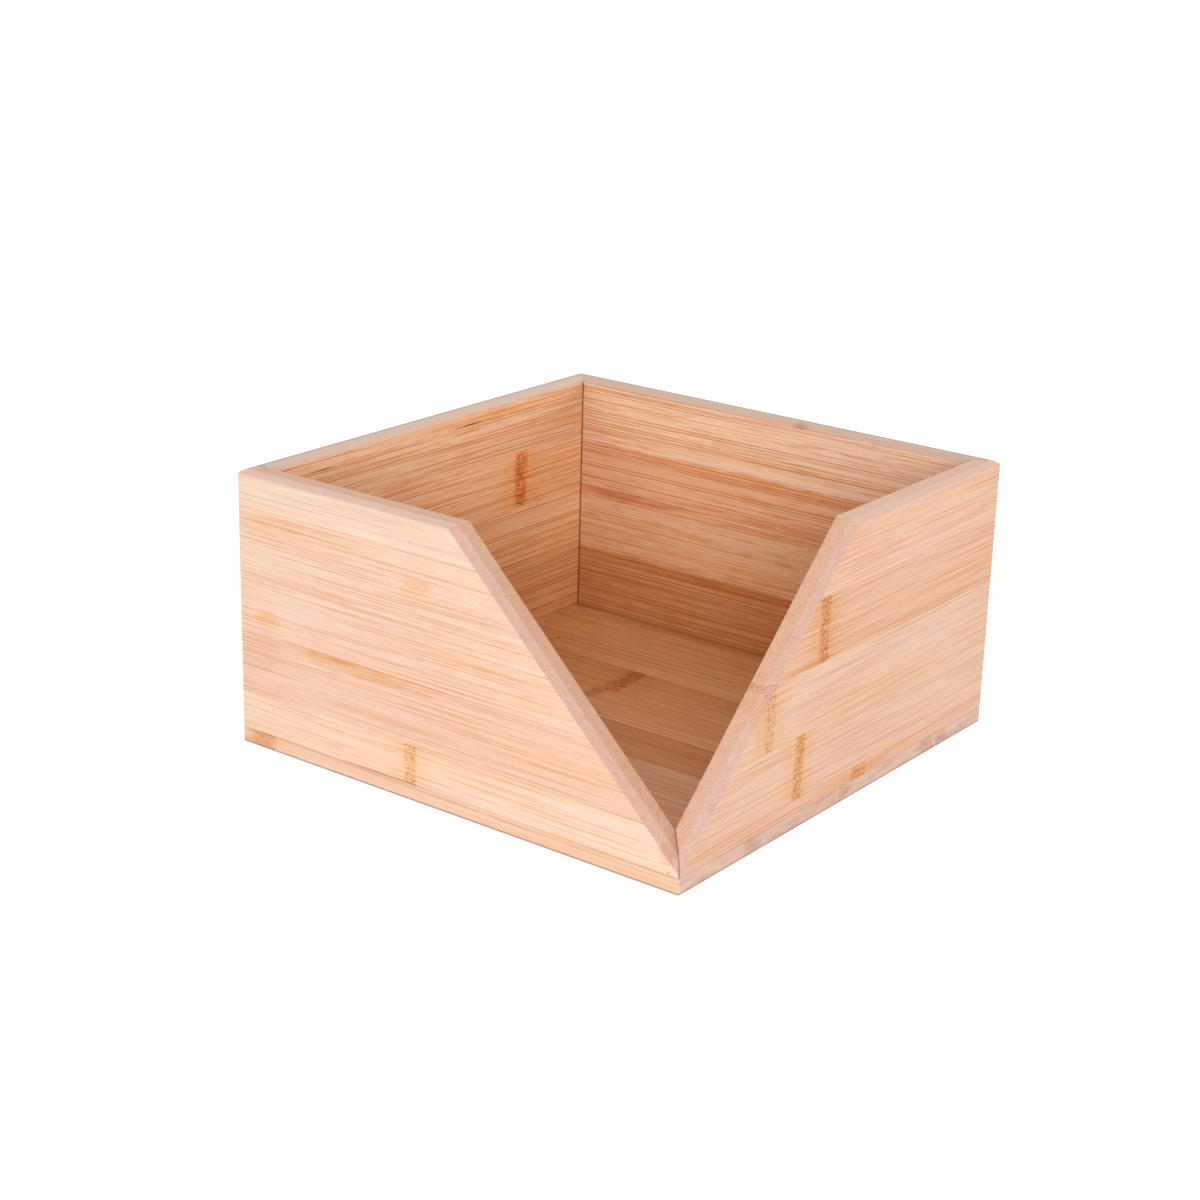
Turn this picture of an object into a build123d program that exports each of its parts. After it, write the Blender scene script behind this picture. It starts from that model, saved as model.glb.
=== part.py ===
from build123d import *
import os

# Open-corner box of bamboo board: four mitred walls standing on a base, with a V-shaped opening where
# the front and right walls meet. Every board is glued up from flat bamboo strips laid edge to edge, and
# each strip is a part of its own.
#
# Millimetres. The origin is the middle of the underside and +Z is up. The front wall faces -Y and the
# right wall faces +X, so the V opens towards +X and -Y.

# Box
side = 180.0  # outer length of every wall, and both sides of the base
height = 95.0  # from the table to the rim
wall = 7.3  # thickness of the wall boards
base_thickness = 5.4

# V opening at the front right corner
v_reach = 87.8  # length of each rim that it takes away, measured from the corner
v_sill = 4.0  # wall left above the base, at the corner itself
v_chamfer = 2.3  # both legs of the chamfer along its outer edges

# Rim
rim_chamfer_width = 2.3  # of the sloping outer edge, across the rim
rim_chamfer_drop = 1.3  # of the same edge, down the outer face
inner_break = 1.5  # 45 degree break of the inner edge, on the two walls without the V

# Sanded edges: the four outer corners and the foot of the base
arris = 0.4

# Bamboo strips. A wall's strips are counted from the rim down, and the base's from the back. The first
# and the last strip of a board are ripped to its edges, and the ones between them are full.
strip_width = 21.3
least_strip = 7.0  # what is left after the full strips stays on the last of them if it is narrower
front_top_strip = 11.9
front_foot_strip = 13.8
right_top_strip = 21.1
right_foot_strip = 4.6
back_top_strip = 23.3
back_foot_strip = 23.7
left_top_strip = 21.0
left_foot_strip = 4.7
rear_base_strip = 9.4
front_base_strip = 21.5

wall_height = height - base_thickness
v_rise = wall_height - v_sill

os.makedirs("parts", exist_ok=True)


def strip_edges(board_width, first, last):
    """Where a board's strips begin and end: the `first`, the full ones, and the `last`."""
    edges = [0.0, first]
    while board_width - last - edges[-1] >= strip_width + least_strip:
        edges.append(edges[-1] + strip_width)
    return edges + [board_width - last, board_width]


def wall_frame(turn):
    """A wall's own frame: from the foot of its outer face, x along it, y into the box, z up."""
    return Plane(Location((0, 0, base_thickness), (0, 0, turn)) * Location((0, -side / 2, 0)))


def cut(frame, point, waste):
    """The plane of a saw cut through `point`, facing the `waste`, both given in `frame`."""
    return Plane(origin=frame.from_local_coords(point), z_dir=frame.from_local_coords(waste) - frame.origin)


def corner_cuts(frame, end):
    """The mitre at one end of a wall, and its share of the sanded outer corner."""
    mitre = cut(frame, (end * side / 2, 0, 0), (end, 1, 0))
    sanded = cut(frame, (end * (side / 2 - arris), 0, 0), (end, -1, 0))
    return [mitre, sanded]


def rim_chamfer(frame):
    """The sloping outer edge of the rim."""
    return cut(frame, (0, 0, wall_height - rim_chamfer_drop), (0, -rim_chamfer_drop, rim_chamfer_width))


def rim_inner_break(frame):
    """The small break along the inner edge of the rim."""
    return cut(frame, (0, wall, wall_height - inner_break), (0, 1, 1))


def v_cuts(frame, end):
    """One slope of the V, down to the corner at the wall's `end`, and the chamfer along its outer edge."""
    foot = Vector(end * side / 2, 0, v_sill)
    upward = Vector(end * v_rise, 0, v_reach).normalized()
    slope = cut(frame, foot, upward)
    chamfered = cut(frame, foot - upward * v_chamfer, upward - Vector(0, 1, 0))
    return [slope, chamfered]


def make_wall(name, turn, edges, cuts):
    """Lay a wall's strips from the rim down, and saw them together to the board's shape."""
    frame = wall_frame(turn)
    for number, (upper, lower) in enumerate(zip(edges, edges[1:]), start=1):
        with BuildPart() as strip:
            with BuildSketch(frame.offset(wall_height - lower)):
                Rectangle(side, wall, align=(Align.CENTER, Align.MIN))
            extrude(amount=lower - upper)
            for plane in corner_cuts(frame, -1) + corner_cuts(frame, 1) + cuts(frame):
                split(bisect_by=plane, keep=Keep.BOTTOM)
        strip.part.label = f"{name}_strip_{number}"
        export_step(strip.part, f"parts/{strip.part.label}.step")


def make_base():
    """Lay the base's strips from the back to the front, and sand its corners and foot."""
    middle = Plane.XY
    sanded = []
    for x in (-1, 1):
        sanded.append(cut(middle, (x * side / 2, 0, arris), (x, 0, -1)))
        sanded.append(cut(middle, (0, x * side / 2, arris), (0, x, -1)))
        for y in (-1, 1):
            sanded.append(cut(middle, (x * (side / 2 - arris), y * side / 2, 0), (x, y, 0)))

    edges = strip_edges(side, rear_base_strip, front_base_strip)
    for number, (rear, front) in enumerate(zip(edges, edges[1:]), start=1):
        with BuildPart() as strip:
            with BuildSketch(Plane.XY):
                with Locations((0, side / 2 - front)):
                    Rectangle(side, front - rear, align=(Align.CENTER, Align.MIN))
            extrude(amount=base_thickness)
            for plane in sanded:
                split(bisect_by=plane, keep=Keep.BOTTOM)
        strip.part.label = f"base_strip_{number}"
        export_step(strip.part, f"parts/{strip.part.label}.step")


front_strips = strip_edges(wall_height, front_top_strip, front_foot_strip)
right_strips = strip_edges(wall_height, right_top_strip, right_foot_strip)
back_strips = strip_edges(wall_height, back_top_strip, back_foot_strip)
left_strips = strip_edges(wall_height, left_top_strip, left_foot_strip)

make_wall("front_wall", 0, front_strips, lambda frame: [rim_chamfer(frame)] + v_cuts(frame, 1))
make_wall("right_wall", 90, right_strips, lambda frame: [rim_chamfer(frame)] + v_cuts(frame, -1))
make_wall("back_wall", 180, back_strips, lambda frame: [rim_chamfer(frame), rim_inner_break(frame)])
make_wall("left_wall", 270, left_strips, lambda frame: [rim_chamfer(frame), rim_inner_break(frame)])
make_base()
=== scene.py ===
import math
from dataclasses import dataclass

import bpy
from mathutils import Matrix, Vector


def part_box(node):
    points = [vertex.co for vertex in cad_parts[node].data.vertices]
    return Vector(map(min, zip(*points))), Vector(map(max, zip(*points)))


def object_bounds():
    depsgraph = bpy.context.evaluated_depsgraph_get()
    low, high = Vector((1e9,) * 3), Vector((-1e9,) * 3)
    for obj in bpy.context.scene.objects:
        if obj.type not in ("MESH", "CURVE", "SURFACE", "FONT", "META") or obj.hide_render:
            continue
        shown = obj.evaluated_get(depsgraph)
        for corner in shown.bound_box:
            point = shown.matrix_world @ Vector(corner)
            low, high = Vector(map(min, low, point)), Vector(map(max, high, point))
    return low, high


# An open-corner box of bamboo board on a pale floor. The pieces are the CAD strips themselves, and this
# script gives each its bamboo: fibres that run along the strip, nodes that cross it, and sanded end grain
# where the strip was sawn. Lengths are in metres, and the bamboo's own pattern is in millimetres.

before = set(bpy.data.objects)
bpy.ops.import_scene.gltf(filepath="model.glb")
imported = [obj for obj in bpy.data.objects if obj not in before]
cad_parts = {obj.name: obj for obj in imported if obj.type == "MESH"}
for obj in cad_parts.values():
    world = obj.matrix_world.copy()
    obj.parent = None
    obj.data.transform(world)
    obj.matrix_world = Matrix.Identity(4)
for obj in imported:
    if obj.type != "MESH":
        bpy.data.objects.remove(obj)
cad_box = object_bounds()
low, high = cad_box
SIDE = high.x - low.x
MM = 1000.0  # millimetres in a metre

# ---------------------------------------------------------------------------------------------------
# Camera and lamps
# ---------------------------------------------------------------------------------------------------

AZIMUTH = 36.99  # degrees, from the front wall towards the right wall
ELEVATION = 19.285
ROLL = -1.589
DISTANCE = 4.447 * SIDE  # from the lens to the middle of the box, along the view
AIM_LEFT = 0.0429 * SIDE  # the middle of the box lies this far right of the middle of the view
LENS = 71.37

SOFTBOX_SIZE = 0.9
SOFTBOX_DISTANCE = 1.6
SOFTBOXES = {  # azimuth, elevation and power
    "softbox_corner": (40.0, 12.0, 18.7),
    "softbox_left": (-25.0, 22.0, 7.5),
    "softbox_right": (135.0, 20.0, 9.0),
    "softbox_back": (217.0, 45.0, 8.0),
}


def backwards(azimuth, elevation):
    """From the box towards something that is seen at this azimuth and elevation, in degrees."""
    turn, rise = math.radians(azimuth), math.radians(elevation)
    return Vector((math.sin(turn) * math.cos(rise), -math.cos(turn) * math.cos(rise), math.sin(rise)))


def link(thing):
    bpy.context.scene.collection.objects.link(thing)
    return thing


def make_camera():
    back = backwards(AZIMUTH, ELEVATION)
    level = Vector((0, 0, 1)).cross(back).normalized()
    right = Matrix.Rotation(math.radians(-ROLL), 3, back) @ level
    up = back.cross(right)
    data = bpy.data.cameras.new("camera")
    data.lens = LENS
    data.clip_start = DISTANCE / 100
    data.clip_end = DISTANCE * 100
    camera = link(bpy.data.objects.new("camera", data))
    camera.matrix_world = Matrix((right, up, back)).transposed().to_4x4()
    camera.location = (low + high) / 2 + back * DISTANCE - right * AIM_LEFT
    bpy.context.scene.camera = camera


def make_softbox(name, azimuth, elevation, power):
    data = bpy.data.lights.new(name, "AREA")
    data.shape = "SQUARE"
    data.size = SOFTBOX_SIZE
    data.energy = power
    lamp = link(bpy.data.objects.new(name, data))
    back = backwards(azimuth, elevation)
    lamp.location = (low + high) / 2 + back * SOFTBOX_DISTANCE
    lamp.rotation_euler = back.to_track_quat("Z", "Y").to_euler()


# ---------------------------------------------------------------------------------------------------
# Node graphs
# ---------------------------------------------------------------------------------------------------


class Graph:
    """Adds nodes to an emptied node tree. A value is a number, a tuple or another node's output."""

    def __init__(self, tree):
        self.tree = tree
        tree.nodes.clear()

    def add(self, kind, inputs=(), **settings):
        node = self.tree.nodes.new(kind)
        for name, value in settings.items():
            setattr(node, name, value)
        for socket, value in dict(inputs).items():
            self.feed(node.inputs[socket], value)
        return node

    def feed(self, socket, value):
        if isinstance(value, bpy.types.NodeSocket):
            self.tree.links.new(value, socket)
        else:
            socket.default_value = value

    def math(self, operation, *values, clamp=False):
        inputs = dict(enumerate(values))
        return self.add("ShaderNodeMath", inputs, operation=operation, use_clamp=clamp).outputs[0]

    def vector_math(self, operation, *values):
        inputs = dict(enumerate(values))
        return self.add("ShaderNodeVectorMath", inputs, operation=operation)

    def plus(self, first, *others):
        for other in others:
            first = self.math("ADD", first, other)
        return first

    def times(self, first, *others):
        for other in others:
            first = self.math("MULTIPLY", first, other)
        return first

    def swing(self, value, gain):
        """A value from 0 to 1, made to swing about zero by `gain`."""
        return self.math("MULTIPLY_ADD", value, gain, -gain / 2)

    def crisp(self, value, spread, gain):
        """The same with steeper sides: all of the swing lies within `spread` of the middle."""
        return self.ramp(value, 0.5 - spread, 0.5 + spread, -gain / 2, gain / 2)

    def ramp(self, value, start, end, first=0.0, last=1.0):
        """Goes smoothly from `first`, where the value is `start`, to `last`, where it is `end`."""
        if start > end:
            start, end, first, last = end, start, last, first
        inputs = {"Value": value, "From Min": start, "From Max": end, "To Min": first, "To Max": last}
        return self.add("ShaderNodeMapRange", inputs, interpolation_type="SMOOTHSTEP").outputs["Result"]

    def stretch(self, point, size):
        return self.vector_math("MULTIPLY", point, tuple(1 / length for length in size)).outputs[0]

    def noise(self, point, size, detail=1.0):
        """Soft noise from 0 to 1, whose blotches have this size along, across and through the strip."""
        inputs = {"Vector": self.stretch(point, size), "Scale": 1.0, "Detail": detail}
        return self.add("ShaderNodeTexNoise", inputs).outputs["Fac"]

    def point(self, *parts):
        return self.add("ShaderNodeCombineXYZ", dict(enumerate(parts))).outputs[0]

    def rods(self, point, size):
        """Straight rods along the strip, of this size across and through: how far off the nearest one's
        axis a point is, where 1 is this size, and a random number from 0 to 1 for that rod."""
        parts = self.add("ShaderNodeSeparateXYZ", {0: point}).outputs
        place = self.point(parts[1], parts[2])
        inputs = {"Vector": self.stretch(place, (*size, 1.0)), "Scale": 1.0, "Randomness": 0.7}
        node = self.add("ShaderNodeTexVoronoi", inputs, voronoi_dimensions="2D")
        parts = self.add("ShaderNodeSeparateColor", {0: node.outputs["Color"]})
        return node.outputs["Distance"], parts.outputs[0]

    def mix(self, factor, first, second, blend="MIX"):
        """Mixes two colours. The node keeps its sockets for colours at 6 and 7, and 2 coming out."""
        node = self.add("ShaderNodeMix", {0: factor}, data_type="RGBA", blend_type=blend)
        self.feed(node.inputs[6], first)
        self.feed(node.inputs[7], second)
        return node.outputs[2]

    def tint(self, tone, factor, tint):
        """The tone, multiplied by the tint where the factor is 1."""
        return self.mix(factor, tone, colour(*tint), "MULTIPLY")

    def output(self, kind, shader):
        self.add(kind, {"Surface": shader})


def new_graph(name):
    material = bpy.data.materials.new(name)
    material.use_nodes = True
    return material, Graph(material.node_tree)


def colour(red, green, blue):
    return (red, green, blue, 1.0)


# ---------------------------------------------------------------------------------------------------
# Sky and floor
# ---------------------------------------------------------------------------------------------------

SKY = 0.27  # strength of the even light from all around
FLOOR_SIZE = 6.0
FLOOR_COLOUR = (0.80, 0.80, 0.80)  # for the light that it throws back on the box
FLOOR_GLOW = 0.84  # near the box, the camera sees the floor as this much plain white,
FAR_FLOOR_GLOW = 0.95  # and further off, where less of the lamps' light comes, as this much,
FLOOR_SHADE = 0.32  # together with this much of the light on it, which is where the shadow shows
NEAR_FLOOR = 0.3  # metres from the middle of the box
FAR_FLOOR = 1.0


def make_world():
    """Even white light, with a plain white background behind it."""
    world = bpy.data.worlds.new("sky")
    world.use_nodes = True
    bpy.context.scene.world = world
    graph = Graph(world.node_tree)
    path = graph.add("ShaderNodeLightPath")
    seen = graph.math("MAXIMUM", path.outputs["Is Camera Ray"], path.outputs["Is Glossy Ray"])
    seen = graph.math("MAXIMUM", seen, path.outputs["Is Transmission Ray"])
    sky = graph.ramp(seen, 0.0, 1.0, SKY, 1.0)
    background = graph.add("ShaderNodeBackground", {"Color": colour(1, 1, 1), "Strength": sky})
    graph.output("ShaderNodeOutputWorld", background.outputs[0])


def make_floor():
    bpy.ops.mesh.primitive_plane_add(size=FLOOR_SIZE, location=(0, 0, low.z))
    floor = bpy.context.object
    floor.name = "floor"
    material, graph = new_graph("floor")
    plain = graph.add("ShaderNodeBsdfDiffuse", {"Color": colour(*FLOOR_COLOUR)})
    shaded = graph.add("ShaderNodeBsdfDiffuse", {"Color": colour(*(FLOOR_SHADE,) * 3)})
    place = graph.add("ShaderNodeTexCoord").outputs["Object"]
    away = graph.vector_math("LENGTH", place).outputs["Value"]
    strength = graph.ramp(away, NEAR_FLOOR, FAR_FLOOR, FLOOR_GLOW, FAR_FLOOR_GLOW)
    glow = graph.add("ShaderNodeEmission", {"Color": colour(1, 1, 1), "Strength": strength})
    seen = graph.add("ShaderNodeAddShader", {0: shaded.outputs[0], 1: glow.outputs[0]})
    path = graph.add("ShaderNodeLightPath")
    surface = graph.add("ShaderNodeMixShader", {0: path.outputs["Is Camera Ray"]})
    graph.feed(surface.inputs[1], plain.outputs[0])
    graph.feed(surface.inputs[2], seen.outputs[0])
    graph.output("ShaderNodeOutputMaterial", surface.outputs[0])
    floor.data.materials.append(material)


# ---------------------------------------------------------------------------------------------------
# The boards, and what shows on their strips
# ---------------------------------------------------------------------------------------------------

# Tones of bamboo, from pale to dark
IVORY = (0.907, 0.711, 0.588)
CREAM = (0.867, 0.69, 0.588)
OAT = (0.872, 0.69, 0.552)
PEACH = (0.857, 0.644, 0.52)
SHELL = (0.963, 0.736, 0.583)
SAND = (0.963, 0.685, 0.493)
GOLD = (0.917, 0.67, 0.483)
HONEY = (0.852, 0.592, 0.452)
BISCUIT = (0.842, 0.608, 0.473)
CAMEL = (0.806, 0.618, 0.52)
CARAMEL = (0.816, 0.541, 0.389)
ROSE = (0.822, 0.567, 0.441)
COPPER = (0.756, 0.494, 0.357)
CHESTNUT = (0.762, 0.525, 0.383)
RUST = (0.675, 0.427, 0.299)
DRIFT = (0.635, 0.438, 0.341)
BRONZE = (0.619, 0.366, 0.232)
TOBACCO = (0.565, 0.283, 0.124)

# Tints: the bamboo's colour is multiplied by one of these for
FIBRE = (0.83, 0.685, 0.57)  # a dark fibre,
DEEPER = (0.90, 0.74, 0.59)  # and inside the box by this as well,
BAND = (0.94, 0.75, 0.58)  # a band in which dark fibres gather,
WARM = (1.0, 0.945, 0.82)  # a patch of yellower bamboo,
BLUSH = (1.0, 0.91, 0.84)  # a patch of redder bamboo,
HALO = (0.98, 0.80, 0.54)  # the stain around a node,
KNOT = (0.52, 0.31, 0.18)  # the curls in a node,
SEAM = (0.72, 0.48, 0.32)  # a glue line in a board,
JOINT_AND_CORNER_SHADE = (0.42, 0.25, 0.19)  # a glue line between boards, with painted shade where it lies in an inner corner,
FOOT_SHADE = (0.34, 0.25, 0.21)  # painted contact shade on the sanded foot of the base, where it stands on the floor,
SPECK = (0.86, 0.80, 0.74)  # the speckle on faces that are sawn across the fibres,
WALL_BLOTCH = (0.97, 0.92, 0.87)  # the blotches on those faces of a wall,
BASE_BLOTCH = (0.84, 0.80, 0.78)  # and on those of the base,
SANDED_EDGE = (0.917, 0.98, 1.13)  # the chamfer along such a face, against the face itself,
RIM_EDGE_SHADE = (0.62, 0.58, 0.56)  # painted shade along the outer line of a far wall's rim,
INSIDE_SHADE_TOP = (0.985, 0.945, 0.90)  # painted shade on the inside of the box at the rim, a little darker and browner,
INSIDE_SHADE_FOOT = (0.995, 0.845, 0.565)  # and deeper painted shade on the inside at the floor,
AMBER = (0.93, 0.78, 0.58)  # a stain,
INK = (0.16, 0.12, 0.10)  # and a split or a dark dot


@dataclass
class Knot:
    """Where a node of the cane crosses the strip. Millimetres."""

    place: float  # along the strip, from the middle of the board
    width: float = 5.0
    strength: float = 1.0
    slant: float = 0.0  # how far it leans over the strip's width


@dataclass
class Mark:
    """A stain with soft and ragged edges, which goes right through the board, or a patch of painted shade.
    A wall's is given by its place along the wall and its height above the table, and the base's by X and Y.
    Millimetres."""

    along: float
    across: float
    length: float
    width: float
    tint: tuple = AMBER
    strength: float = 1.0


@dataclass
class Strip:
    """One strip of a board, and what shows on it."""

    tone: tuple  # between the fibres
    contrast: float = 1.0  # of the fibres
    knots: tuple = ()
    marks: tuple = ()


@dataclass(frozen=True)
class Grain:
    """Parts of the pattern that walls and base have in sizes of their own: millimetres along the strip,
    across it and through it."""

    curl: tuple  # of a node's curls
    blotch: tuple  # of the blotches on sawn faces
    blotch_tint: tuple
    ragged: tuple  # of the tongues at a mark's edges,
    raggedness: float  # and how far they reach, where 1 is half of the mark


WALL_GRAIN = Grain((1.6, 1.1, 1.1), (5.0, 5.0, 5.0), WALL_BLOTCH, (9.0, 1.5, 1.5), 1.2)
BASE_GRAIN = Grain((1.5, 1.9, 1.1), (5.0, 16.0, 1.8), BASE_BLOTCH, (9.0, 3.0, 1.0), 1.8)


@dataclass
class Board:
    """A board's strips, from the rim down or from the back, and what they have in common."""

    axes: str  # along its strips, across them and through them
    dip: float  # how steeply the fibres run out of its faces
    sawn: tuple  # the colour of its faces that are sawn across the fibres
    strips: tuple
    grain: Grain = WALL_GRAIN
    rim: tuple = ()  # the colour of a wall's sanded top,
    rim_edge: tuple = ()  # and of the sloping edge beside it
    rim_shade: float = 0.0  # how dark the painted shade on the top is along its outer edge

    @property
    def upright(self):
        return self.axes[1] == "Z"


FRONT_STRIPS = (
    Strip(CREAM, 0.6),
    Strip(PEACH, marks=(
        Mark(-13, 72, 14, 8, AMBER, 0.7),
        Mark(-76, 78, 36, 9, (0.97, 0.88, 0.78), 0.9),
    )),
    Strip(PEACH, marks=(
        Mark(-78, 46, 13, 8, (0.97, 0.86, 0.66), 0.9),
        Mark(-60, 60, 70, 3.5, (0.95, 0.84, 0.74), 0.9),
    )),
    Strip(BISCUIT, marks=(
        Mark(-36, 40.5, 88, 3.2, (0.90, 0.68, 0.46)),
        Mark(-36, 38, 74, 5, AMBER, 0.8),
        Mark(-80, 33, 26, 16, (0.97, 0.93, 0.90), 0.8),
    )),
    Strip(IVORY, 0.8, knots=(Knot(-15.2, 4.2, 0.55),), marks=(
        Mark(-30, 5.4, 44, 2, (0.74, 0.56, 0.46)),
        Mark(86, 6.4, 1.4, 1, (0.55, 0.44, 0.38)),
        Mark(85.5, 13, 8, 9, (0.87, 0.75, 0.63), 0.8),
    )),
)
RIGHT_STRIPS = (
    Strip(HONEY, 0.9),
    Strip(CARAMEL, 1.1, knots=(Knot(-16.9, 4.5, 0.8),), marks=(
        Mark(-25, 53.5, 40, 4, AMBER, 0.9),
        Mark(45, 54, 90, 4.5, (0.94, 0.83, 0.72), 0.9),
    )),
    Strip(BISCUIT, 0.9, knots=(Knot(-45.3, 4.5, 0.55),), marks=(
        Mark(-50, 41, 9, 22, (0.96, 0.86, 0.74), 0.7),
    )),
    Strip(BISCUIT, 0.8, knots=(Knot(-27.6, 4.5, 0.8, 1.5),)),
    Strip(ROSE, knots=(Knot(8.7, 8.0, 0.6),)),
)
BACK_STRIPS = (
    Strip(OAT, marks=(
        Mark(14.5, 94, 9, 2.4, (0.86, 0.74, 0.66)),
    )),
    Strip(ROSE, marks=(
        Mark(-15, 69.6, 150, 4.5, (0.98, 0.82, 0.60)),
        Mark(-62, 52.6, 62, 5, (0.80, 0.60, 0.50)),
    )),
    Strip(CAMEL),
    Strip(RUST, marks=(
        Mark(-15, 27.2, 150, 4, (0.88, 0.68, 0.56)),
    )),
)
LEFT_STRIPS = (
    Strip(GOLD, marks=(
        Mark(35, 90.5, 100, 4.5, (0.98, 0.80, 0.58), 0.9),
        Mark(-18, 75.5, 34, 5, (0.93, 0.74, 0.62), 0.8),
        Mark(17, 89.7, 26, 0.6, INK),
        Mark(-57, 89.2, 14, 0.6, INK),
        Mark(-83, 95, 1.6, 1.6, (0.70, 0.60, 0.52)),
    )),
    Strip(SAND, 0.9, knots=(Knot(46.5, 6.0),), marks=(
        Mark(46, 63, 8, 22, (0.95, 0.82, 0.80), 0.9),
    )),
    Strip(SHELL, 0.8),
    Strip(BISCUIT),
    Strip(ROSE),
)
BASE_STRIPS = (
    Strip(BRONZE, 0.6),
    Strip(PEACH, 0.6, marks=(
        # painted shade on the floor along the foot of the back wall
        Mark(-10, 79, 150, 8, (0.88, 0.83, 0.74)),
        Mark(90, 63, 3, 9, (0.84, 0.78, 0.72), 0.8),
    )),
    Strip(PEACH, 0.6, marks=(
        Mark(-63.7, 47, 2, 2, INK),
        Mark(90, 53, 3, 13, (0.82, 0.76, 0.70), 0.8),
    )),
    Strip(CHESTNUT, 0.6, knots=(Knot(-18.5, 6.5, 0.85, -2.0),), marks=(
        Mark(-18.5, 31, 6, 18, (0.78, 0.74, 0.72), 0.9),
    )),
    Strip(COPPER, 0.6, marks=(
        Mark(-20, 12, 9, 15, (0.78, 0.62, 0.50)),
        Mark(90, 0, 3, 9, (0.84, 0.78, 0.72), 0.8),
    )),
    Strip(TOBACCO, 0.6),
    Strip(DRIFT, 0.5),
    Strip(RUST, 0.6, marks=(
        Mark(90, -52, 3, 9, (0.86, 0.80, 0.76), 0.8),
    )),
    Strip(PEACH, 0.8, knots=(Knot(-80, 9.0, 0.4),), marks=(
        Mark(-82, -90, 17, 5, (0.92, 0.82, 0.72)),
    )),
)

BOARDS = {
    "front_wall": Board(
        "XZY", 0.018, (0.64, 0.37, 0.254), FRONT_STRIPS,
        rim=(0.666, 0.366, 0.232), rim_edge=(0.75, 0.51, 0.42),
    ),
    "right_wall": Board(
        "YZX", 0.022, (0.72, 0.445, 0.32), RIGHT_STRIPS,
        rim=(0.755, 0.457, 0.33), rim_edge=(0.758, 0.519, 0.411),
    ),
    "back_wall": Board(
        "XZY", 0.004, (0.71, 0.44, 0.31), BACK_STRIPS,
        rim=(0.58, 0.395, 0.315), rim_edge=(0.62, 0.432, 0.35), rim_shade=0.9,
    ),
    "left_wall": Board(
        "YZX", 0.010, (0.71, 0.44, 0.31), LEFT_STRIPS,
        rim=(0.66, 0.469, 0.394), rim_edge=(0.69, 0.505, 0.432), rim_shade=0.9,
    ),
    "base": Board("XYZ", 0.010, (0.78, 0.56, 0.46), BASE_STRIPS, BASE_GRAIN),
}

# ---------------------------------------------------------------------------------------------------
# Bamboo
# ---------------------------------------------------------------------------------------------------

# Sizes of a pattern are millimetres along the strip, across it and through it, and other lengths are
# millimetres too. Values for Graph.ramp are where it starts and ends, and what it gives there.

AXES = {"X": Vector((1, 0, 0)), "Y": Vector((0, 1, 0)), "Z": Vector((0, 0, 1))}

# How squarely a face looks in a direction, as a cosine, when it begins to count as looking there and
# when it fully does
SQUARELY = (0.9, 0.99)
STEEPLY = (0.9, 0.97)
HALFWAY = (0.3, 0.6)
SLIGHTLY = (0.1, 0.5)
SIDEWAYS = (0.1, 0.6)


class Face:
    """The point that a strip's material is asked for, along the strip, across it and through it, and which
    way the face looks that it lies on."""

    def __init__(self, graph, name, board):
        place = graph.vector_math("SCALE", graph.add("ShaderNodeTexCoord").outputs["Object"])
        place.inputs["Scale"].default_value = MM
        xyz = graph.add("ShaderNodeSeparateXYZ", {0: place.outputs[0]}).outputs
        self.height = xyz[2]  # above the table
        self.along, self.across, self.through = (xyz["XYZ".index(axis)] for axis in board.axes)

        # The strip's own middle and width, across it
        start, end = (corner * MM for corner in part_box(name))
        wide = AXES[board.axes[1]]
        self.middle = (start + end).dot(wide) / 2
        self.width = (end - start).dot(wide)

        normal = graph.add("ShaderNodeNewGeometry").outputs["True Normal"]
        facing = []
        for axis in board.axes:
            facing.append(graph.vector_math("DOT_PRODUCT", normal, tuple(AXES[axis])).outputs["Value"])
        self.sawn, self.side, self.flat = (graph.math("ABSOLUTE", value) for value in facing)
        self.facing = facing[2]
        inward = self.facing
        if board.upright:
            inward = graph.times(inward, graph.math("SIGN", graph.times(self.through, -1.0)))
        self.inward = graph.ramp(inward, *SQUARELY)  # 1 inside the box
        self.end_grain = graph.ramp(self.sawn, *SLIGHTLY)  # 1 where the strip is sawn across its fibres
        self.broad = graph.ramp(self.side, *SIDEWAYS, 1.0, 0.0)  # 1 except where it is sawn along them


STRIP_OFFSET = (37.0, 11.0, 5.0)  # from each strip's place in the pattern to the next one's
WANDER_SIZE = (140.0, 30.0, 30.0)
WANDER = 0.7  # how far the fibres wander across the strip,
SWIRL_SIZE = (4.0, 2.5, 2.5)
SWIRL = 1.2  # and how much further at a node
KNOT_EDGE_SIZE = (3.0, 1.6, 1.6)
KNOT_EDGE = 4.0  # how far a node's ragged edges reach
CORE_START = 0.7  # where a node's core starts and is full, as shares of its width
CORE_FULL = 0.35
STAIN_START = 2.9  # and where the stain around it starts


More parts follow.
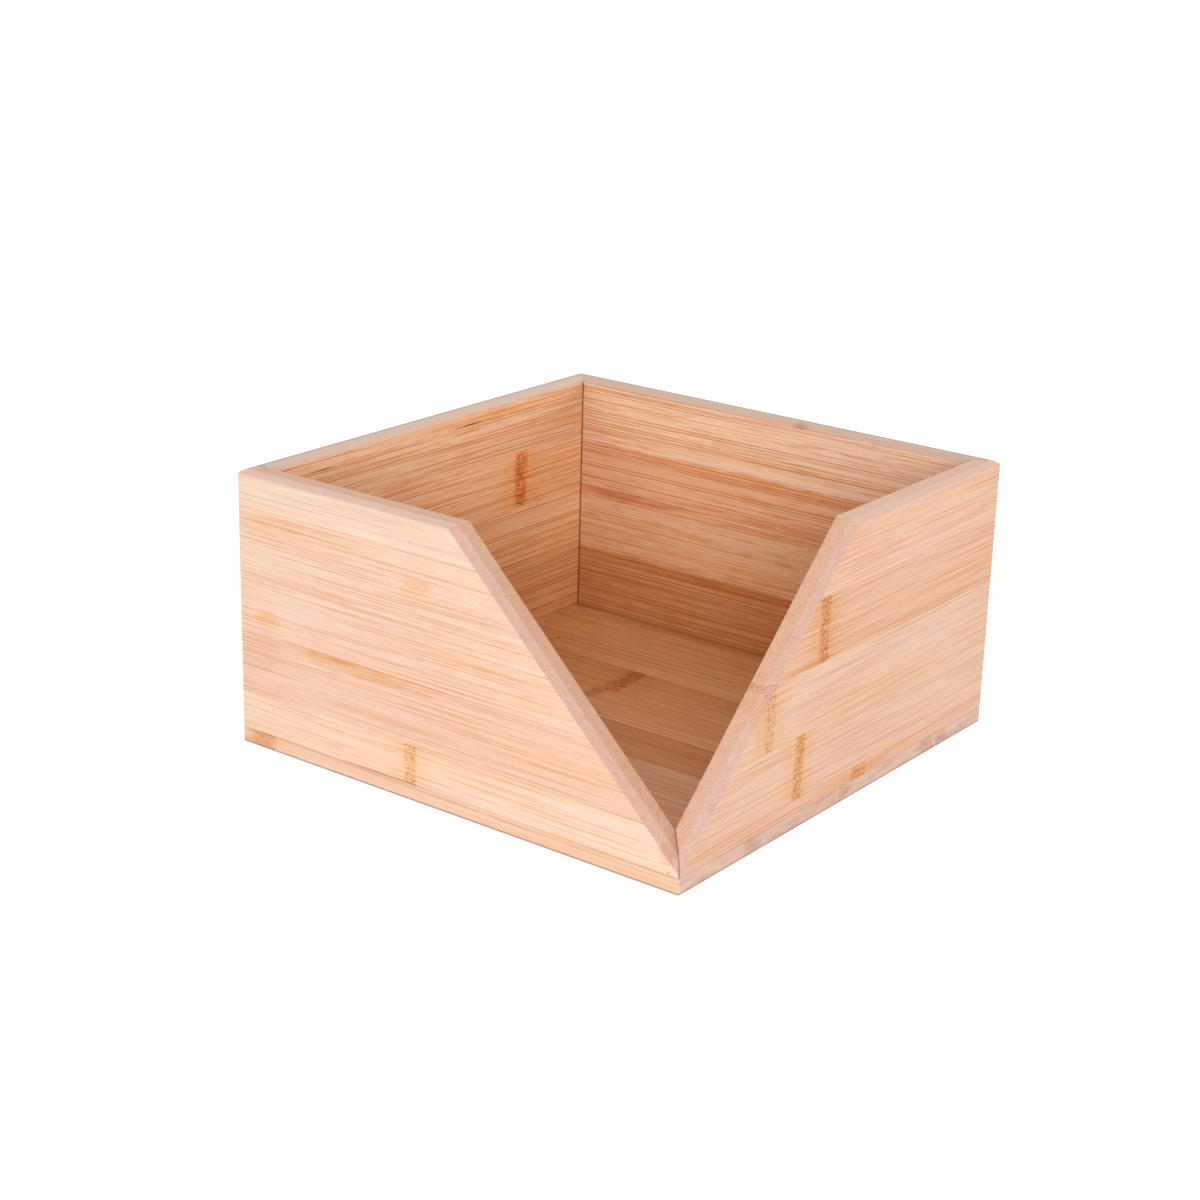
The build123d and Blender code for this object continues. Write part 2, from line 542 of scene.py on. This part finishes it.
def wandering_grain(graph, face, strip, seed):
    """Where in the pattern a point lies: each strip has a place of its own, and its fibres wander a little,
    and more so at a node. Also how much there is of a node, and of the stain around it."""
    grain = graph.point(face.along, face.across, face.through)
    grain = graph.vector_math("ADD", grain, tuple(seed * step for step in STRIP_OFFSET)).outputs[0]
    knotted, stained = 0.0, 0.0
    edge = graph.swing(graph.noise(grain, KNOT_EDGE_SIZE, 2.0), KNOT_EDGE)
    for knot in strip.knots:
        slope = knot.slant / face.width
        lean = graph.math("MULTIPLY_ADD", face.across, -slope, slope * face.middle)
        off = graph.math("ABSOLUTE", graph.plus(face.along, -knot.place, lean, edge))
        core = graph.ramp(off, knot.width * CORE_START, knot.width * CORE_FULL, 0.0, knot.strength)
        stain = graph.ramp(off, knot.width * STAIN_START, 0.0, 0.0, knot.strength)
        knotted = graph.math("MAXIMUM", knotted, core)
        stained = graph.math("MAXIMUM", stained, stain)
    wander = graph.swing(graph.noise(grain, WANDER_SIZE), WANDER)
    swirl = graph.times(graph.swing(graph.noise(grain, SWIRL_SIZE), SWIRL), stained)
    shift = graph.point(0.0, graph.plus(wander, swirl))
    return graph.vector_math("ADD", grain, shift).outputs[0], knotted, stained


BAND_SIZE = (200.0, 2.0, 3.2)
BAND_GAIN = 0.25
BROAD_BAND_SIZE = (200.0, 8.0, 8.0)
BROAD_BAND_GAIN = 0.1
BUNDLE_SIZE = (1.0, 2.0)  # across and through only, since a bundle is as long as the strip
BUNDLE = (0.34, 0.10, -0.2, 1.3)  # how dark it is, by how far off its axis a point is
FADING_SIZE = (16.0, 1.0, 1.0)
FADING = (0.36, 0.62, 0.3, 1.0)
FADING_SHIFT = 900.0  # up to this far along, bundles fade in places of their own,
STREAK_SHIFT = 160.0  # and up to this far fine streaks have places of their own
STREAK_SHIFT_SIZE = (900.0, 0.8, 0.8)
FINE_SIZE = (40.0, 0.44, 1.0)
FINE_SPREAD = 0.18
FINE_GAIN = 0.4
DASH_SIZE = (6.0, 0.36, 0.8)
DASH_SPREAD = 0.20
DASH_GAIN = 0.45


def fibre_pattern(graph, grain, dip):
    """How dark a place is, around zero: for the straight fibres and their bundles, about a millimetre
    apart, and for the bands in which they gather."""
    along, across, through = graph.add("ShaderNodeSeparateXYZ", {0: grain}).outputs
    band = graph.swing(graph.noise(grain, BAND_SIZE), BAND_GAIN)
    broad_band = graph.swing(graph.noise(grain, BROAD_BAND_SIZE), BROAD_BAND_GAIN)
    grain = graph.point(along, across, graph.math("MULTIPLY_ADD", along, dip, through))
    off_axis, bundle = graph.rods(grain, BUNDLE_SIZE)
    own_place = graph.point(graph.math("MULTIPLY_ADD", bundle, FADING_SHIFT, along), bundle)
    fading = graph.ramp(graph.noise(own_place, FADING_SIZE), *FADING)
    bundles = graph.times(graph.ramp(off_axis, *BUNDLE), fading)
    shift = graph.times(graph.noise(grain, STREAK_SHIFT_SIZE), STREAK_SHIFT)
    streak = graph.vector_math("ADD", grain, graph.point(shift)).outputs[0]
    fine = graph.crisp(graph.noise(streak, FINE_SIZE), FINE_SPREAD, FINE_GAIN)
    dashes = graph.crisp(graph.noise(streak, DASH_SIZE), DASH_SPREAD, DASH_GAIN)
    return graph.plus(fine, dashes, bundles), graph.plus(band, broad_band)


INSIDE_CONTRAST = 1.2  # what the inside of the box adds to the fibres' contrast,
STAIN_CONTRAST = 0.5  # and the stain around a node,
SAWN_CONTRAST = 0.5  # and what a sawn face leaves of it
MEAN_FIBRE = 0.40  # how dark a place with no more fibres than others is,
MEAN_BAND = 0.15  # and the same for bands
WARM_SIZE = (120.0, 3.6, 6.0)
WARM_PATCH = (0.46, 0.70, 0.0, 0.7)
BLUSH_SIZE = (90.0, 3.0, 5.0)
BLUSH_PATCH = (0.44, 0.68, 0.0, 0.7)
STAIN = 0.85  # how strong the stain around a node is,
CORE_STAIN = 0.8  # and what the node adds to it
CURL = (0.068, 0.018)  # how far from its middle value the noise is along a curl


def long_grain(graph, face, board, strip, grain, knotted, stained):
    """The bamboo as it looks along the fibres: its colour, how dark its fibres are, and a node's curls."""
    inside = graph.times(face.inward, INSIDE_CONTRAST)
    contrast = graph.plus(1.0, inside, graph.times(stained, STAIN_CONTRAST))
    sawn = graph.ramp(face.end_grain, 0.0, 1.0, 1.0, SAWN_CONTRAST)
    contrast = graph.times(contrast, strip.contrast, sawn)
    fine, bands = fibre_pattern(graph, grain, board.dip)
    fibres = graph.math("ADD", graph.times(fine, contrast), MEAN_FIBRE, clamp=True)
    banded = graph.math("ADD", graph.times(bands, strip.contrast), MEAN_BAND, clamp=True)
    tone = graph.tint(colour(*strip.tone), fibres, FIBRE)
    tone = graph.tint(tone, graph.times(fibres, face.inward), DEEPER)
    tone = graph.tint(tone, banded, BAND)
    tone = graph.tint(tone, graph.ramp(graph.noise(grain, WARM_SIZE, 2.0), *WARM_PATCH), WARM)
    tone = graph.tint(tone, graph.ramp(graph.noise(grain, BLUSH_SIZE, 2.0), *BLUSH_PATCH), BLUSH)
    tone = graph.tint(tone, graph.times(stained, STAIN), HALO)
    tone = graph.tint(tone, graph.times(knotted, CORE_STAIN), HALO)
    ridges = graph.math("ABSOLUTE", graph.math("SUBTRACT", graph.noise(grain, board.grain.curl), 0.5))
    curls = graph.times(graph.ramp(ridges, *CURL), knotted)
    return graph.tint(tone, curls, KNOT), fibres, curls


RIM_CHAMFER_WIDTH = 2.3  # as in the CAD
RIM_CHAMFER_DROP = 1.3
RIM_TOP_END = high.y * MM - RIM_CHAMFER_WIDTH  # where the rim's top meets its sloping outer edge
OUTER_FACE_END = high.z * MM - RIM_CHAMFER_DROP  # where that edge meets the outer face
SANDED = 0.8  # how far sanding hides the bamboo's own colour
SANDED_ROUND = 0.45  # and how far at the top of the outer face,
ROUND_WIDTH = 1.8  # which is sanded this far down
RIM_SHADE_START = 1.5  # a far rim's line of painted shade starts and is full this far inside the edge of its top,
RIM_SHADE_FULL = 0.9
RIM_SHADE_END = 0.4  # and ends this far outside
SPECK_SIZE = (0.8, 0.5, 0.5)
SPECKLE = (0.4, 0.75)
BLOTCHES = (0.45, 0.7)


def sanded_faces(graph, face, board, grain, tone, speck, curls):
    """The same colour with sawn faces and rims sanded: each is of one greyer tone that hides most of the
    bamboo's own, sawn faces have a fine speckle and blotches, and a far wall's rim has painted shade
    along its outer edge."""
    chamfered = graph.ramp(face.flat, *SLIGHTLY)
    cut_tone = graph.tint(colour(*board.sawn), chamfered, SANDED_EDGE)
    tone = graph.mix(graph.times(face.end_grain, SANDED), tone, cut_tone)
    tone = graph.tint(tone, graph.times(face.end_grain, curls), KNOT)
    if board.upright:
        rim_tone = graph.mix(graph.ramp(face.side, *STEEPLY), colour(*board.rim_edge), colour(*board.rim))
        rim = graph.times(graph.ramp(face.side, *HALFWAY), graph.ramp(face.end_grain, 0.0, 1.0, SANDED, 0.0))
        rounded = graph.ramp(face.across, OUTER_FACE_END - ROUND_WIDTH, OUTER_FACE_END, 0.0, SANDED_ROUND)
        outside = graph.math("SUBTRACT", 1.0, face.inward)
        rounded = graph.times(rounded, graph.ramp(face.flat, *SQUARELY), outside)
        tone = graph.mix(graph.math("MAXIMUM", rim, rounded), tone, rim_tone)
        outward = graph.math("ABSOLUTE", face.through)
        # a line of painted shade along the outer edge of a far wall's rim
        line = graph.ramp(outward, RIM_TOP_END - RIM_SHADE_START, RIM_TOP_END - RIM_SHADE_FULL)
        line = graph.times(line, graph.ramp(outward, RIM_TOP_END + RIM_SHADE_END, RIM_TOP_END))
        tone = graph.tint(tone, graph.times(rim, line, board.rim_shade), RIM_EDGE_SHADE)
    tone = graph.tint(tone, graph.times(face.end_grain, graph.ramp(speck, *SPECKLE)), SPECK)
    blotch = graph.ramp(graph.noise(grain, board.grain.blotch, 2.0), *BLOTCHES)
    return graph.tint(tone, graph.times(face.end_grain, blotch), board.grain.blotch_tint)


MARK_START = 1.1  # where a mark starts and is full, as shares of the way from its middle to its edge
MARK_FULL = 0.3
INSIDE_SHADE_HEIGHTS = (5.0, 90.0)  # between which the painted shade inside the box changes


def marked_faces(graph, face, board, strip, grain, tone):
    """The same with the strip's marks, and with painted shade inside the box, deepening towards the floor.
    """
    ragged = graph.swing(graph.noise(grain, board.grain.ragged), board.grain.raggedness)
    place = graph.point(face.along, face.across)
    for mark in strip.marks:
        spot = graph.vector_math("SUBTRACT", place, (mark.along, mark.across, 0.0)).outputs[0]
        spot = graph.stretch(spot, (mark.length / 2, mark.width / 2, 1.0))
        reach = graph.plus(graph.vector_math("LENGTH", spot).outputs["Value"], ragged)
        tone = graph.tint(tone, graph.ramp(reach, MARK_START, MARK_FULL, 0.0, mark.strength), mark.tint)
    # painted shade inside the box, light at the rim and deepest at the floor
    inside = graph.mix(graph.ramp(face.height, *INSIDE_SHADE_HEIGHTS), colour(*INSIDE_SHADE_FOOT), colour(*INSIDE_SHADE_TOP))
    return graph.mix(face.inward, tone, inside, "MULTIPLY")


SEAM_LINE = (0.24, 0.06)  # from a strip's edge
SEAM_SIZE = (30.0, 40.0, 40.0)
SEAM_SHOWS = (0.45, 0.7, 0.12, 0.6)  # better in some stretches than in others


def seam_line(graph, face, grain):
    """The glue lines along the strip's edges."""
    off_middle = graph.math("ABSOLUTE", graph.math("SUBTRACT", face.across, face.middle))
    from_edge = graph.math("SUBTRACT", face.width / 2, off_middle)
    shows = graph.ramp(graph.noise(grain, SEAM_SIZE), *SEAM_SHOWS)
    return graph.times(graph.ramp(from_edge, *SEAM_LINE), shows, face.broad)


INNER_BREAK = 1.5  # as in the CAD
INNER_FACE_END = high.z * MM - INNER_BREAK
BASE_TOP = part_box("base_strip_1")[1].z * MM
MITRE_LINE = (0.55, 0.2)
MITRE_TOP = (INNER_FACE_END, INNER_FACE_END - 0.4)  # it doesn't run on over the rim
MITRE_OUTSIDE = 0.65  # how dark it is outside, against the inside, where painted shade in the corner is added to the glue line
FOOT_LINE = (0.4, 0.1, 0.0, 0.4)  # above the base


def joint_and_corner_shade(graph, face):
    """The glue lines at a wall's mitres, with painted shade in the inner corner, and where it stands on the
    base.
    """
    through = graph.math("ABSOLUTE", face.through)
    off_mitre = graph.math("SUBTRACT", through, graph.math("ABSOLUTE", face.along))
    mitre = graph.times(graph.ramp(off_mitre, *MITRE_LINE), graph.ramp(face.across, *MITRE_TOP))
    # the mitre line is full inside the box, where it is painted shade in the corner as well as glue
    mitre = graph.times(mitre, graph.ramp(face.inward, 0.0, 1.0, MITRE_OUTSIDE, 1.0))
    above_base = graph.math("SUBTRACT", face.across, BASE_TOP)
    return graph.math("MAXIMUM", mitre, graph.times(graph.ramp(above_base, *FOOT_LINE), face.broad))


ARRIS_COSINE = 0.7  # of the base's sanded lower edge, which slopes at 45 degrees, with the way down
ON_ARRIS = (0.25, 0.1)  # off that cosine
FOOT_SHADE_HEIGHTS = (1.1, 0.5, 0.0, 0.55)  # heights just above that edge, which get painted shade too
UPRIGHT = (0.3, 0.1)


def shaded_foot(graph, face):
    """Painted contact shade on the base's sanded lower edge, and on a line above it."""
    on_arris = graph.ramp(graph.math("ABSOLUTE", graph.plus(face.facing, ARRIS_COSINE)), *ON_ARRIS)
    above = graph.times(graph.ramp(face.height, *FOOT_SHADE_HEIGHTS), graph.ramp(face.flat, *UPRIGHT))
    return graph.math("MAXIMUM", on_arris, above)


SMOOTHEST = 0.50  # roughness between the fibres,
ROUGHEST = 0.64  # and on them
RELIEF = 0.03  # what 1 of the heights below stands for
FIBRE_HEIGHT = -0.6
CURL_HEIGHT = -1.0
LINE_HEIGHT = -1.5
SPECK_HEIGHT = 0.8
BUMP_STRENGTH = 0.6
SPECULAR = 0.3


def bamboo(name, board, strip, seed):
    """A strip's bamboo, as one solid pattern, so that a sawn face shows the ends of the same fibres."""
    material, graph = new_graph(name)
    face = Face(graph, name, board)
    grain, knotted, stained = wandering_grain(graph, face, strip, seed)
    speck = graph.noise(grain, SPECK_SIZE, 2.0)
    tone, fibres, curls = long_grain(graph, face, board, strip, grain, knotted, stained)
    tone = sanded_faces(graph, face, board, grain, tone, speck, curls)
    tone = marked_faces(graph, face, board, strip, grain, tone)
    line = seam_line(graph, face, grain)
    tone = graph.tint(tone, line, SEAM)
    if board.upright:
        # glue lines, with painted shade in the inner corners of the mitres
        joint_and_shade = joint_and_corner_shade(graph, face)
        tone = graph.tint(tone, joint_and_shade, JOINT_AND_CORNER_SHADE)
        line = graph.math("MAXIMUM", line, joint_and_shade)
    else:
        # painted contact shade along the base's foot, where it meets the floor
        tone = graph.tint(tone, shaded_foot(graph, face), FOOT_SHADE)

    rough = graph.ramp(fibres, 0.0, 1.0, SMOOTHEST, ROUGHEST)
    heights = [(fibres, FIBRE_HEIGHT), (curls, CURL_HEIGHT), (line, LINE_HEIGHT)]
    height = graph.plus(*(graph.times(value, gain) for value, gain in heights))
    height = graph.plus(height, graph.times(speck, face.end_grain, SPECK_HEIGHT))
    bump = {"Strength": BUMP_STRENGTH, "Distance": RELIEF / MM, "Height": height}
    bump = graph.add("ShaderNodeBump", bump).outputs[0]
    shader = graph.add("ShaderNodeBsdfPrincipled", {
        "Base Color": tone, "Roughness": rough, "Normal": bump, "Specular IOR Level": SPECULAR,
    })
    graph.output("ShaderNodeOutputMaterial", shader.outputs[0])
    return material


def dress(name, material):
    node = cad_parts[name]
    node.data.materials.clear()
    node.data.materials.append(material)


seed = 0
for title, board in BOARDS.items():
    for number, strip in enumerate(board.strips, start=1):
        seed += 1
        name = f"{title}_strip_{number}"
        dress(name, bamboo(name, board, strip, seed))

make_camera()
make_world()
for lamp, (azimuth, elevation, power) in SOFTBOXES.items():
    make_softbox(lamp, azimuth, elevation, power)
make_floor()
bpy.context.scene.view_settings.view_transform = "Standard"
